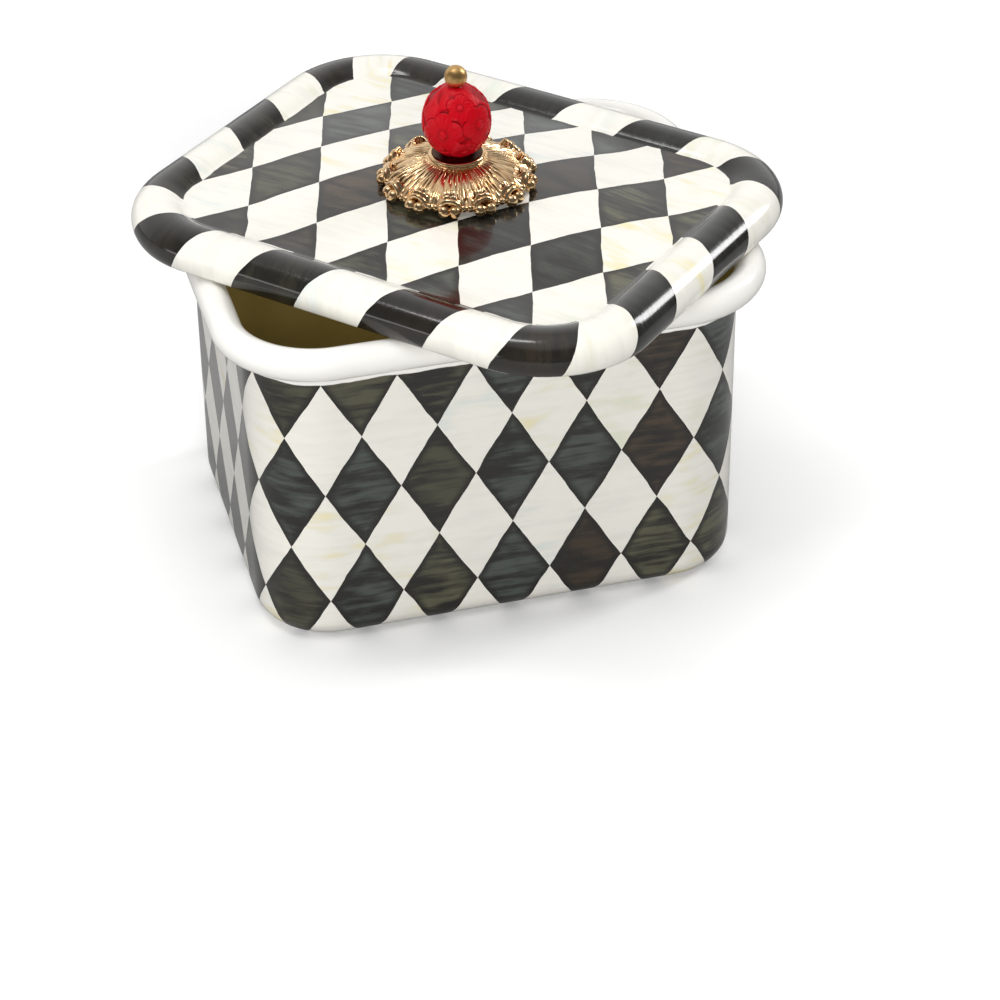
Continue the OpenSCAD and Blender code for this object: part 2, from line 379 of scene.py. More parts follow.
    def lid(self, width: float, height: float, pitch: float, slant: float, olive_from: float) -> Material:
        """The lid's enamel: diamonds on the panel, slanted bands round the rolled edge, and olive underneath.

        Args:
            width: a diamond's width.
            height: a diamond's height.
            pitch: from one black band to the next, round the edge.
            slant: how far a band runs on for each metre across the edge.
            olive_from: where the olive starts, as a run along the sheet.

        Returns:
            The material.
        """
        # The edge's black is laid on thicker than the panel's, so it shows nearly plain.
        shader = Shader("lid_hand_painted_enamel")
        path = shader.add("Attribute", out="Fac", attribute_name="path")
        turned = shader.add("Mapping", {"Vector": shader.place, "Rotation": (0, 0, -LID_TURN)})
        panel = self.wobbled(shader, turned)
        panel_paint, panel_strokes = self.brushed(shader, panel, *self.diamonds(shader, panel, width, height))
        edge = self.wobbled(shader, shader.add("UVMap", uv_map="wrap"))
        run, out, _ = shader.add("SeparateXYZ", (edge,)).node.outputs
        band = shader.add("Math", (out, slant, run), operation="MULTIPLY_ADD")
        band = shader.add("Math", (band, pitch / 2), operation="DIVIDE")
        across = shader.add("CombineXYZ", (out, run))
        bands = self.tiles(shader, band, 0.5)
        edge_paint, edge_strokes = self.brushed(shader, across, *bands, self.edge_thinned)
        rolled = shader.mask((self.unsteady(shader, path), self.paint_edge, 2 * self.paint_edge))
        under = shader.mask((path, olive_from, olive_from + self.under_edge))
        skin = shader.coated(panel_paint, (rolled, edge_paint), (under, self.olive_skin(shader)))
        return self.glaze(shader, skin, shader.coated(panel_strokes, (rolled, edge_strokes)))

    def olive_skin(self, shader: Shader) -> NodeSocket:
        """The plain olive-brown enamel, a little uneven as it was dipped."""
        cloud = shader.mask((shader.grain(shader.place, self.cloud, 3.0), 0.3, 0.75))
        return shader.coated(self.olive, (cloud, self.olive_pale))

    def glaze(self, shader: Shader, skin: object, relief: object) -> Material:
        """Lays the glossy clear coat over a skin of enamel.

        Args:
            shader: the material's graph.
            skin: the enamel's colour.
            relief: the brush strokes' height from 0 to 1.

        Returns:
            The material.
        """
        ripple = shader.grain(shader.place, self.ripple_length)
        normal = shader.add("Bump", {"Height": relief, "Distance": self.relief})
        normal = shader.add("Bump", {"Height": ripple, "Distance": self.ripple, "Normal": normal})
        smoothest, roughest = self.roughness
        return shader.finish(
            Base_Color=skin,
            Roughness=shader.add("MapRange", {"Value": relief, "To Min": smoothest, "To Max": roughest}),
            Normal=normal,
            Coat_Weight=self.coat,
            Coat_Roughness=self.coat_roughness,
        )


@dataclass(frozen=True)
class CastMetal:
    """A cast or turned metal, clouded a little, flecked with grime, and darker where it lies deep: grime and painted
    shade.
    """

    # The metal's own grain is too fine to show, so it is drawn as coarse as it needs to be seen.
    name: str
    bright: str
    dark: str
    grime_and_shade: str
    roughness: float
    grain: float
    dent: float
    cloud: float = 5 * MM

    def material(self, hollow: str = "") -> Material:
        """Makes the metal.

        Args:
            hollow: the mesh's attribute that is 1 deep in a hollow, where grime and painted shade go, or nothing for a
                plain piece.

        Returns:
            The material.
        """
        shader = Shader(self.name)
        fine = shader.grain(shader.place, self.grain, 3.0)
        cloud = shader.grain(shader.place, self.cloud, 3.0, 0.6)
        if hollow:
            # A piece with hollows takes the grime tone where it lies deep, as grime and painted shade.
            depth = shader.add("Attribute", out="Fac", attribute_name=hollow)
            speckle = shader.add("Math", (fine, 0.3, -0.15), operation="MULTIPLY_ADD")
            grime_and_shade_mask = shader.mask((shader.add("Math", (depth, speckle), operation="ADD"), 0.48, 0.95))
        else:
            grime_and_shade_mask = shader.mask((fine, 0.6, 0.85))
        skin = shader.coated(self.bright, (shader.mask((cloud, 0.35, 0.7)), self.dark), (grime_and_shade_mask, self.grime_and_shade))
        shares = {"To Min": self.roughness * 0.7, "To Max": self.roughness * 1.4}
        rough = shader.add("MapRange", {"Value": cloud} | shares)
        normal = shader.add("Bump", {"Height": fine, "Distance": self.dent})
        return shader.finish(Base_Color=skin, Metallic=1.0, Roughness=rough, Normal=normal)


@dataclass(frozen=True)
class CarvedLacquer:
    """Red lacquer, carved and rubbed, with painted shade in its cuts and painted highlights on its high places."""

    # It is satin, painted nearly black-red in the cuts as painted shade, and paler on high places as wear and painted
    # highlight.
    red: str = "#be0417"
    deep: str = "#6c040c"
    wear_and_highlight: str = "#d63c48"
    grain: float = 0.7 * MM
    dent: float = 0.04 * MM
    cloud: float = 4 * MM
    specular: float = 0.18

    def material(self) -> Material:
        """Makes the red finish from the mesh's carved height.

        Returns:
            The material.
        """
        shader = Shader("red_carved_lacquer")
        height = shader.add("Attribute", out="Fac", attribute_name="carve")
        fine = shader.grain(shader.place, self.grain, 3.0)
        cloud = shader.grain(shader.place, self.cloud, 3.0)
        # Paler on the high carving: wear and painted highlight.
        wear_and_highlight_mask = shader.mask((height, 0.7, 0.95), (cloud, 0.4, 0.7), strength=0.3)
        # The deep red in the low carving is painted shade.
        skin = shader.coated(self.deep, (shader.mask((height, 0.1, 0.6)), self.red), (wear_and_highlight_mask, self.wear_and_highlight))
        rough = shader.add("MapRange", {"Value": cloud, "To Min": 0.3, "To Max": 0.45})
        normal = shader.add("Bump", {"Height": fine, "Distance": self.dent})
        return shader.finish(Base_Color=skin, Roughness=rough, Specular_IOR_Level=self.specular, Normal=normal)


@dataclass(frozen=True)
class SoftRubber:
    """Moulded black rubber."""

    # It is matt and nearly black, with a dusty grain that is drawn coarser than the real one, so that it shows.
    tone: str = "#1a1a1a"
    dusty: str = "#2b2b2a"
    grain: float = 0.4 * MM
    dent: float = 0.05 * MM
    roughness: float = 0.75

    def material(self) -> Material:
        """Makes the rubber with its fine grain.

        Returns:
            The material.
        """
        shader = Shader("black_rubber")
        fine = shader.grain(shader.place, self.grain, 3.0)
        skin = shader.coated(self.tone, (shader.mask((fine, 0.3, 0.8)), self.dusty))
        normal = shader.add("Bump", {"Height": fine, "Distance": self.dent})
        return shader.finish(Base_Color=skin, Roughness=self.roughness, Normal=normal)


@dataclass(frozen=True)
class Station:
    """A point of a sheet's section: how far out of the corner's centre, how high, and how far along the sheet."""

    out: float
    z: float
    path: float = 0.0


def arc(out: float, z: float, radius: float, start: float, end: float, steps: int) -> list[Station]:
    """Points on an arc, in degrees, without their run along the sheet."""
    angles = [math.radians(start + (end - start) * i / steps) for i in range(steps + 1)]
    return [Station(out + radius * math.cos(a), z + radius * math.sin(a)) for a in angles]


def measured(points: list[Station], zero: int) -> list[Station]:
    """Gives points their run along the sheet, and drops doubles.

    Args:
        points: the section's points, in order.
        zero: the index of the point that the run starts from.

    Returns:
        The points with their runs.
    """
    kept, runs, zero_run = [points[0]], [0.0], 0.0
    for index, point in enumerate(points[1:], 1):
        step = math.hypot(point.out - kept[-1].out, point.z - kept[-1].z)
        if step > 1e-7:
            kept.append(point)
            runs.append(runs[-1] + step)
        if index == zero:
            zero_run = runs[-1]
    return [Station(p.out, p.z, run - zero_run) for p, run in zip(kept, runs)]


@dataclass(frozen=True)
class RoundedRectangle:
    """A rectangle with round corners, that a sheet's section is swept round."""

    half_x: float
    half_y: float
    corner_r: float

    @property
    def centre(self) -> Vector:
        """Where the corner's centre is."""
        return Vector((self.half_x - self.corner_r, self.half_y - self.corner_r, 0))

    def length(self) -> float:
        """The whole way round."""
        return 4 * (self.centre.x + self.centre.y) + 2 * math.pi * self.corner_r

    def run(self, x: float, y: float) -> float:
        """The way round from the middle of the front to a place on the right half.

        Args:
            x: the place's distance to the right.
            y: its distance to the back.

        Returns:
            The length in metres.
        """
        cx, cy = self.centre.x, self.centre.y
        quarter = self.corner_r * math.pi / 2
        if y < -cy:
            return x if x < cx else cx + self.corner_r * math.atan2(x - cx, -(y + cy))
        if y <= cy:
            return cx + quarter + (y + cy)
        turned = quarter if x < cx else self.corner_r * math.atan2(y - cy, x - cx)
        return cx + quarter + 2 * cy + turned + max(0.0, cx - x)

    def sweep(self, section: list[Station], steps: int = 28) -> BMesh:
        """Sweeps a section of sheet round the rectangle.

        Args:
            section: the sheet's outline, open towards the middle.
            steps: the faces round each corner.

        Returns:
            The mesh, open in its middle above and below, with each point's run along the sheet in its layer "path".
        """
        bm = bmesh.new()
        path = bm.verts.layers.float.new("path")
        centre = self.centre
        line = []
        for station in section:
            vert = bm.verts.new((0, centre.y + station.out, station.z))
            vert[path] = station.path
            line.append(vert)
        edges = [bm.edges.new(pair) for pair in zip(line, line[1:])]
        edges = extrude(bm, edges, Vector((centre.x, 0, 0)))
        ends = list(dict.fromkeys(v for e in edges for v in e.verts))
        turned = bmesh.ops.spin(bm, geom=ends + edges, cent=centre, axis=(0, 0, 1), angle=-math.pi / 2, steps=steps)
        last = [g for g in turned["geom_last"] if isinstance(g, BMEdge)]
        extrude(bm, last, Vector((0, -centre.y, 0)))
        for axis in "XY":
            bmesh.ops.mirror(bm, geom=bm.verts[:] + bm.edges[:] + bm.faces[:], merge_dist=1e-6, axis=axis)
        bmesh.ops.remove_doubles(bm, verts=bm.verts[:], dist=1e-7)
        runs = [e for e in bm.edges if e.calc_length() > 30 * MM]
        bmesh.ops.subdivide_edges(bm, edges=runs, cuts=13, use_grid_fill=True)
        return bm

    def closed(self, bm: BMesh) -> BMesh:
        """Fills a swept mesh's holes with flat faces and unwraps it.

        Args:
            bm: the swept mesh.

        Returns:
            The same mesh, closed.
        """
        bmesh.ops.holes_fill(bm, edges=bm.edges[:], sides=0)
        bmesh.ops.recalc_face_normals(bm, faces=bm.faces[:])
        self.unwrap(bm)
        return bm

    def unwrap(self, bm: BMesh) -> None:
        """Gives the mesh its map "wrap": the way round, and the run along the sheet, in metres.

        Args:
            bm: the swept mesh.
        """
        layer, path = bm.loops.layers.uv.new("wrap"), bm.verts.layers.float["path"]
        for face in bm.faces:
            side = math.copysign(1, face.calc_center_median().x)
            for loop in face.loops:
                place = loop.vert.co
                loop[layer].uv = (side * self.run(max(0.0, side * place.x), place.y), loop.vert[path])


def extrude(bm: BMesh, edges: list, way: Vector) -> list:
    """Extrudes edges.

    Args:
        bm: their mesh.
        edges: what is extruded.
        way: how far and where to.

    Returns:
        The edges at the end of the way.
    """
    made = bmesh.ops.extrude_edge_only(bm, edges=edges)["geom"]
    verts = {g for g in made if isinstance(g, BMVert)}
    bmesh.ops.translate(bm, verts=list(verts), vec=way)
    return [g for g in made if isinstance(g, BMEdge) and set(g.verts) <= verts]


def revolve(outline: list[Station], steps: int) -> BMesh:
    """Spins a closed outline about Z.

    Args:
        outline: points with their radius and height, in order round the section.
        steps: the faces round, in eights.

    Returns:
        The closed mesh, with each point's path in its layer "path".
    """
    bm = bmesh.new()
    path = bm.verts.layers.float.new("path")
    ring = []
    for station in outline:
        vert = bm.verts.new((station.out, 0, station.z))
        vert[path] = station.path
        ring.append(vert)
    edges = [bm.edges.new((a, b)) for a, b in zip(ring, ring[1:] + ring[:1])]
    turn = math.pi / 4
    bmesh.ops.spin(bm, geom=ring + edges, cent=(0, 0, 0), axis=(0, 0, 1), angle=turn, steps=steps // 8)
    while turn < 2 * math.pi:
        copied = bmesh.ops.duplicate(bm, geom=bm.verts[:] + bm.edges[:] + bm.faces[:])["geom"]
        verts = [g for g in copied if isinstance(g, BMVert)]
        bmesh.ops.rotate(bm, verts=verts, cent=(0, 0, 0), matrix=Matrix.Rotation(turn, 3, "Z"))
        turn *= 2
    bmesh.ops.remove_doubles(bm, verts=bm.verts[:], dist=1e-6)
    bmesh.ops.recalc_face_normals(bm, faces=bm.faces[:])
    return bm


def settled(bm: BMesh, name: str) -> Mesh:
    """Turns a bmesh into a named mesh.

    Args:
        bm: the bmesh, which is used up.
        name: the mesh's name.

    Returns:
        The mesh.
    """
    mesh = bpy.data.meshes.new(name)
    bm.to_mesh(mesh)
    bm.free()
    return mesh


def join(bm: BMesh, other: BMesh) -> None:
    """Adds another mesh to one.

    Args:
        bm: the mesh that grows.
        other: the mesh that is added, which is used up.
    """
    mesh = settled(other, "joined")
    bm.from_mesh(mesh)
    bpy.data.meshes.remove(mesh)


def placed(name: str, data: ID) -> Object:
    """Puts an object into the scene.

    Args:
        name: the object's name.
        data: its mesh, lamp or camera.

    Returns:
        The new object.
    """
    made = bpy.data.objects.new(name, data)
    bpy.context.scene.collection.objects.link(made)
    return made


def piece(bm: BMesh, name: str, body: str, nodes: Iterable[str], material: Material) -> Object:
    """Makes a finished piece that stands for CAD nodes.

    Args:
        bm: its mesh, which is used up.
        name: the piece's name.
        body: the body that it rides on.
        nodes: the CAD nodes that it stands for.
        material: its finish.

    Returns:
        The new object.
    """
    for face in bm.faces:
        face.smooth = True
    mesh = settled(bm, name)
    made = placed(name, mesh)
    mesh.materials.append(material)
    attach(made, body)
    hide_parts(*nodes)
    log.info("%s: %d faces on %s", name, len(mesh.polygons), body)
    return made


@dataclass
class Tub:
    """The pressed tub with its rolled rim."""

    wall: RoundedRectangle = RoundedRectangle(82 * MM, 64.5 * MM, 25 * MM)
    height: float = 115 * MM
    bottom_r: float = 8 * MM
    sheet: float = 1.2 * MM
    rim_r: float = 5.2 * MM
    pool_r: float = 4.6 * MM
    paint_top_z: float = 99.6 * MM
    olive_drop: float = 3.5 * MM
    diamonds_round: int = 22
    diamonds_high: float = 2.5
    floor_from: float = 10 * MM
    inner_steps: tuple[float, float] = (7 * MM, 12 * MM)

    def section(self) -> tuple[list[Station], float, float]:
        """The sheet in section, from underneath out over the rim to the floor inside.

        Returns:
            The stations, and the runs at which the paint ends and the olive starts.
        """
        edge, turn = self.wall.corner_r, self.wall.corner_r - self.bottom_r
        rim_out, rim_z = edge - self.sheet + self.rim_r, self.height - self.rim_r
        reach = self.rim_r + self.pool_r
        rise = math.sqrt(reach**2 - (rim_out - edge - self.pool_r) ** 2)
        pool_end = math.degrees(math.atan2(rise, rim_out - edge - self.pool_r))
        start = [Station(self.floor_from, 0), Station(turn - 1 * MM, 0)]
        outside = arc(turn, self.bottom_r, self.bottom_r, -90, 0, 12)
        wall = [Station(edge, z) for z in (self.paint_top_z - 1 * MM, self.paint_top_z)]
        pool = arc(edge + self.pool_r, rim_z - rise, self.pool_r, 180, pool_end, 6)
        rim = arc(rim_out, rim_z, self.rim_r, pool_end - 180, 180, 44)
        inner = [Station(edge - self.sheet, self.height - down) for down in self.inner_steps]
        inside = arc(turn, self.bottom_r, self.bottom_r - self.sheet, 0, -90, 10)
        points = start + outside + wall + pool + rim + inner + inside + [Station(self.floor_from, self.sheet)]
        stations = measured(points, len(start))
        paint_top = self.bottom_r * math.pi / 2 + self.paint_top_z - self.bottom_r
        crest = paint_top + (rim_z - rise - self.paint_top_z) + math.radians(180 - pool_end) * self.pool_r
        crest += math.radians(90 - (pool_end - 180)) * self.rim_r
        return stations, paint_top, crest + math.radians(90) * self.rim_r - (self.rim_r - self.olive_drop)

    def build(self, paint: HandPaint) -> Object:
        """Builds and paints the tub.

        Args:
            paint: the enamels.

        Returns:
            The painted tub.
        """
        stations, paint_top, olive_from = self.section()
        width = self.wall.length() / self.diamonds_round
        material = paint.tub(width, paint_top / self.diamonds_high, paint_top, olive_from)
        bm = self.wall.closed(self.wall.sweep(stations))
        return piece(bm, "painted_tub", "tub", ["tub"], material)


@dataclass
class Lid:
    """The lid with its crowned panel and wide rolled edge, turned askew on the tub."""

    wall: RoundedRectangle = RoundedRectangle(94.38 * MM, 76.88 * MM, 37.38 * MM)
    panel_z: float = 124.4 * MM
    sheet: float = 1.2 * MM
    roll_r: float = 6.9 * MM
    crest_r: float = 10.5 * MM
    crest: float = 3.1 * MM
    shoulder: float = 50.0
    low_z: float = 115.4 * MM
    crease_r: float = 3 * MM
    crown: float = 4.5 * MM
    border: float = 1.5 * MM
    hole_r: float = 2.3 * MM
    rings: int = 26
    bands: int = 13
    slant: float = 0.5
    diamond: tuple[float, float] = (26.9 * MM, 42.2 * MM)
    lip_angle: float = 4.0
    olive_drop: float = 1.5 * MM
    panel_run: float = -3 * MM
    under_run: float = 99 * MM

    def section(self) -> tuple[list[Station], float]:
        """The sheet in section, from the panel's edge out over the roll and back underneath.

        Returns:
            The stations, and the run at which the underside's olive starts.
        """
        rise = math.radians(self.shoulder)
        roll_out, crest_z = self.wall.corner_r - self.roll_r, self.panel_z + self.crest - self.crest_r
        roll_z = crest_z + (self.crest_r - self.roll_r) * math.sin(rise)
        crest_out = roll_out - (self.crest_r - self.roll_r) * math.cos(rise)
        drop = self.panel_z + self.crease_r - crest_z
        crease_out = crest_out - math.sqrt((self.crest_r + self.crease_r) ** 2 - drop**2)
        turn = math.degrees(math.atan2(drop, crease_out - crest_out))
        end = -math.degrees(math.asin((roll_z - self.low_z) / self.roll_r))

        def side(inset: float, last: float) -> list[Station]:
            """One face of the sheet, so far in from the outer one, down to an angle on the roll."""
            crease = arc(crease_out, crest_z + drop, self.crease_r + inset, -90, turn - 180, 8)
            crest = arc(crest_out, crest_z, self.crest_r - inset, turn, self.shoulder, 18)
            return crease + crest + arc(roll_out, roll_z, self.roll_r - inset, self.shoulder, last, 20)

        lip = arc(roll_out, roll_z, self.roll_r - self.sheet / 2, end, end, 1)[:1]
        stations = measured(side(0, end + self.lip_angle) + lip + side(self.sheet, end + self.lip_angle)[::-1], 0)
        return stations, min(stations, key=lambda s: s.z).path + self.olive_drop

    def lift(self, place: Vector, inner: float) -> float:
        """How far the crown lifts the panel.

        Args:
            place: the place on the panel.
            inner: how far out of the corner's centre the panel's edge lies.

        Returns:
            The lift in metres.
        """
        share = math.hypot(place.x / (self.wall.centre.x + inner), place.y / (self.wall.centre.y + inner))
        rise, ease = self.crown * (1 - share**2), 0.3 * MM
        return (rise + math.hypot(rise, ease)) / 2

    def panel(self, bm: BMesh, inner: float) -> None:
        """Draws both open edges in to the rod's hole, lifts them into the crown, and joins them there.

        Args:
            bm: the swept edge's mesh.
            inner: how far out of the corner's centre the panel's edge lies.
        """
        path = bm.verts.layers.float["path"]
        opened = [e for e in bm.edges if e.is_boundary]
        hole = []
        for level, run in ((self.panel_z, self.panel_run), (self.panel_z - self.sheet, self.under_run)):
            ring, size = [e for e in opened if abs(e.verts[0].co.z - level) < 0.1 * MM], 1.0
            for step in range(1, self.rings + 1):
                ring, shrink = extrude(bm, ring, Vector()), 1 - step / (self.rings + 1)
                for vert in {v for e in ring for v in e.verts}:
                    place = vert.co.xy * shrink / size
                    vert.co.xy = place if step < self.rings else place.normalized() * self.hole_r
                    vert.co.z = level + self.lift(vert.co, inner)
                    vert[path] = run
                size = shrink
            hole += ring
        bmesh.ops.bridge_loops(bm, edges=hole)

    def build(self, paint: HandPaint) -> Object:
        """Builds, turns and paints the lid.

        Args:
            paint: the enamels.

        Returns:
            The painted lid.
        """
        stations, olive_from = self.section()
        bm = self.wall.sweep(stations)
        self.panel(bm, stations[0].out - self.border)
        self.wall.closed(bm)
        bmesh.ops.rotate(bm, verts=bm.verts[:], cent=(0, 0, 0), matrix=Matrix.Rotation(LID_TURN, 3, "Z"))
        material = paint.lid(*self.diamond, self.wall.length() / self.bands, self.slant, olive_from)
        return piece(bm, "painted_lid", "lid", ["lid"], material)


@dataclass
class Rosette:
    """The cast rosette under the knob: a pleated dome, shell lips, scrolls and balls."""

    base_z: float = 129.0 * MM
    height: float = 10.6 * MM
    seat_z: float = 9.1 * MM
    post_r: float = 6.77 * MM
    neck_r: float = 9.4 * MM
    hole_r: float = 2.3 * MM
    edge_r: float = 23.85 * MM
    edge_z: float = 3.4 * MM
    ring_r: float = 0.85 * MM
    wall: float = 1.8 * MM
    pleats: int = 56
    pleat: float = 0.95 * MM
    lobes: int = 13
    first: float = 19.0
    ball_r: float = 2.1 * MM
    ball_z: float = 1.63 * MM
    ball_share: float = 0.14
    small_r: float = 1.3 * MM
    small_share: float = 0.4
    lobe_r: float = 24.4 * MM
    scroll_r: float = 0.95 * MM
    lip_rise: float = 2.4 * MM
    lip_from: tuple[float, float] = (20.6 * MM, 22.3 * MM)
    lip_eased: tuple[float, float] = (22.7 * MM, 23.8 * MM)
    lip_half: tuple[float, float] = (1.2 * MM, 3.7 * MM)
    cup_depth: float = 0.8 * MM
    cup_r: float = 20.6 * MM
    cup_spread: float = 0.9 * MM
    cup_half: tuple[float, float] = (0.7 * MM, 2.7 * MM)
    valley_depth: float = 0.7 * MM
    valley_from: tuple[float, float] = (20.5 * MM, 23.4 * MM)
    valley_off: tuple[float, float] = (3.2 * MM, 4.8 * MM)
    pleats_start: float = 1.2 * MM
    pleats_eased: tuple[float, float] = (21.0 * MM, 22.6 * MM)

    @property
    def step(self) -> float:
        """The angle from one lobe to the next."""
        return 2 * math.pi / self.lobes

    def off_lobe(self, angle: float) -> float:
        """How far an angle is from the nearest lobe's middle."""
        share = (angle - LID_TURN - math.radians(self.first)) / self.step
        return abs(share - round(share)) * self.step

    def skin(self, inset: float, path: float, steps: int) -> list[Station]:
        """The dome's outline from neck to edge.

        Args:
            inset: how far it lies inside the dome's face.
            path: the number that its points carry.
            steps: how many points it has after the first.

        Returns:
            The outline.
        """
        rise = self.height - 2 * self.ring_r - self.edge_z
        reach = self.edge_r - inset - self.neck_r
        shares = [i / steps for i in range(steps + 1)]
        return [Station(self.neck_r + reach * t, self.edge_z - inset + rise * (1 - t**1.6), path) for t in shares]

    def dome(self) -> BMesh:
        """Makes the dome with its post, seat and ring, pleated on top, and turned up into a lip at each lobe.

        Returns:
            The dome's mesh.
        """
        face, back = self.skin(0, 1.0, 50), self.skin(self.wall, 0.0, 8)
        post = [Station(self.post_r, back[0].z), Station(self.post_r, 0)]
        bore = [Station(self.hole_r, 0), Station(self.hole_r, self.seat_z)]
        ring = arc(self.neck_r - self.ring_r, self.height - self.ring_r, self.ring_r, 230, -50, 18)
        bm = revolve(post + bore + ring + face + back[::-1], self.pleats * 10)
        self.pleated(bm)
        return bm

    def groove(self, radius: float, angle: float) -> float:
        """How deep the pleats cut, from 0 to 1. Slow waves make them wander, as they do in a hand-cut mould.

        Args:
            radius: the place's radius.
            angle: its angle.

        Returns:
            The share of the full depth.
        """
        stray = 1.3 * math.sin(5 * angle + 0.4) + 0.9 * math.sin(11 * angle + 2.0)
        stray += 0.7 * math.sin(radius / (3.4 * MM) + 4 * angle)
        ridge = abs(math.cos(self.pleats / 2 * angle + stray))
        fine = abs(math.cos(self.pleats * angle - 1.4 * stray + 0.7))
        fade = smooth(self.neck_r, self.neck_r + self.pleats_start, radius)
        fade *= 1 - 0.5 * smooth(*self.pleats_eased, radius)
        bold = 0.75 + 0.25 * math.sin(4 * angle + radius / (2.6 * MM))
        return (1 - 0.72 * ridge**0.8 - 0.28 * fine**0.8) * fade * bold

    def pleated(self, bm: BMesh) -> None:
        """Moves the dome's points into pleats and lips, and keeps how deep each lies, which darkens the gilt with
        grime and painted shade.

        Args:
            bm: the dome's mesh, whose face has a path of 1.
        """
        path, deep = bm.verts.layers.float["path"], bm.verts.layers.float.new("hollow")
        for vert in bm.verts:
            radius, angle = vert.co.xy.length, math.atan2(vert.co.y, vert.co.x)
            off = self.off_lobe(angle) * radius
            if vert[path] < 0.5:
                # Underneath, the dome gets a middling depth, which darkens it.
                vert[deep] = 0.1 if radius < self.neck_r or radius > self.edge_r - 1.1 * self.wall else 0.6
                continue
            arch = (1 - smooth(*self.lip_half, off)) * smooth(*self.lip_from, radius)
            cup = math.exp(-(((radius - self.cup_r) / self.cup_spread) ** 2)) * (1 - smooth(*self.cup_half, off))
            valley = smooth(*self.valley_from, radius) * smooth(*self.valley_off, off)
            groove = self.groove(radius, angle)
            vert.co.z += self.lip_rise * arch * (1 - 0.6 * smooth(*self.lip_eased, radius))
            vert.co.z -= self.pleat * groove + self.cup_depth * cup + self.valley_depth * valley
            # Darker in the pleats, as grime and painted shade, and in the lip cups, as painted shade.
            vert[deep] = min(1.0, 1.45 * groove + 0.55 * cup + 0.3 * valley)

    def trim(self, bm: BMesh) -> None:
        """Adds a pair of balls under a scroll at each lobe, and two small balls between lobes.

        Args:
            bm: the mesh that gets them.
        """
        small_place = (self.lobe_r - self.small_r, 0, self.edge_z - self.small_r)
        balls = (
            (self.ball_share, self.ball_r, (self.lobe_r, 0, self.ball_z), 26, 18),
            (self.small_share, self.small_r, small_place, 20, 14),
        )
        for lobe in range(self.lobes):
            turn = Matrix.Rotation(LID_TURN + math.radians(self.first) + lobe * self.step, 4, "Z")
            for side in (-1, 1):
                for share, radius, place, round_it, up_it in balls:
                    spot = turn @ Matrix.Rotation(side * share * self.step, 4, "Z") @ Matrix.Translation(place)
                    bmesh.ops.create_uvsphere(bm, u_segments=round_it, v_segments=up_it, radius=radius, matrix=spot)
            self.scroll(bm, turn)

    def scroll(self, bm: BMesh, turn: Matrix) -> None:
        """Adds the half ring that arches over a lobe's pair of balls.

        Args:
            bm: the mesh that gets it.
            turn: the lobe's turn about Z.
        """
        centre = Matrix.Translation((self.lobe_r - self.ball_r + self.scroll_r, 0, self.ball_z))
        foot = Matrix.Translation((0, 2 * self.ball_r - self.scroll_r, 0))
        verts = bmesh.ops.create_circle(bm, segments=14, radius=self.scroll_r, matrix=turn @ centre @ foot)["verts"]
        edges = list(dict.fromkeys(e for v in verts for e in v.link_edges))
        pivot, axis = turn @ centre @ Vector(), turn.to_3x3() @ Vector((1, 0, 0))
        spun = bmesh.ops.spin(bm, geom=verts + edges, cent=pivot, axis=axis, angle=math.pi, steps=20)
        for ring in (edges, [g for g in spun["geom_last"] if isinstance(g, BMEdge)]):
            bmesh.ops.edgeloop_fill(bm, edges=ring)

    def build(self, metal: CastMetal) -> Object:
        """Builds the rosette in its place on the lid.

        Args:
            metal: its finish.

        Returns:
            The rosette.
        """
        bm, trim = self.dome(), bmesh.new()
        self.trim(trim)
        bmesh.ops.recalc_face_normals(trim, faces=trim.faces[:])
        join(bm, trim)
        bmesh.ops.translate(bm, verts=bm.verts[:], vec=(0, 0, self.base_z))
        return piece(bm, "gilt_rosette", "lid", ["rosette"], metal.material("hollow"))


@dataclass
class BeadCup:
    """The dish that the bead's foot sits in, painted dark as shade under the bead."""

    base_z: float = 138.2 * MM
    foot_r: float = 7.39 * MM
    lip_r: float = 8.4 * MM
    height: float = 1.6 * MM
    rest_r: float = 4.75 * MM
    gap: float = 0.1 * MM
    lip_in: float = 0.25 * MM
    lip_down: float = 0.15 * MM
    lip_round: float = 0.2 * MM

    def build(self, metal: CastMetal, bead: "CarvedBead") -> Object:
        """Builds the dish in its place on the rosette.

        Args:
            metal: its finish.
            bead: the bead that it is hollowed for.

        Returns:
            The dish.
        """
        turns = [math.pi / 2 * i / 14 for i in range(14)]
        flare_r = self.lip_r - self.foot_r
        flare = [Station(self.lip_r - flare_r * math.cos(a), self.height * math.sin(a)) for a in turns]
        lip = arc(self.lip_r - self.lip_in, self.height - self.lip_down, self.lip_round, 60, 120, 4)
        radii = [self.rest_r + (bead.hole_r - self.rest_r) * i / 8 for i in range(9)]
        drop = bead.z - self.gap - self.base_z
        hollow = [Station(r, drop - bead.half * math.sqrt(1 - (r / bead.radius) ** 2)) for r in radii]
        bm = revolve([Station(bead.hole_r, 0)] + flare + lip + hollow, 160)
        bmesh.ops.translate(bm, verts=bm.verts[:], vec=(0, 0, self.base_z))
        return piece(bm, "dished_bead_cup", "lid", ["bead_cup"], metal.material())


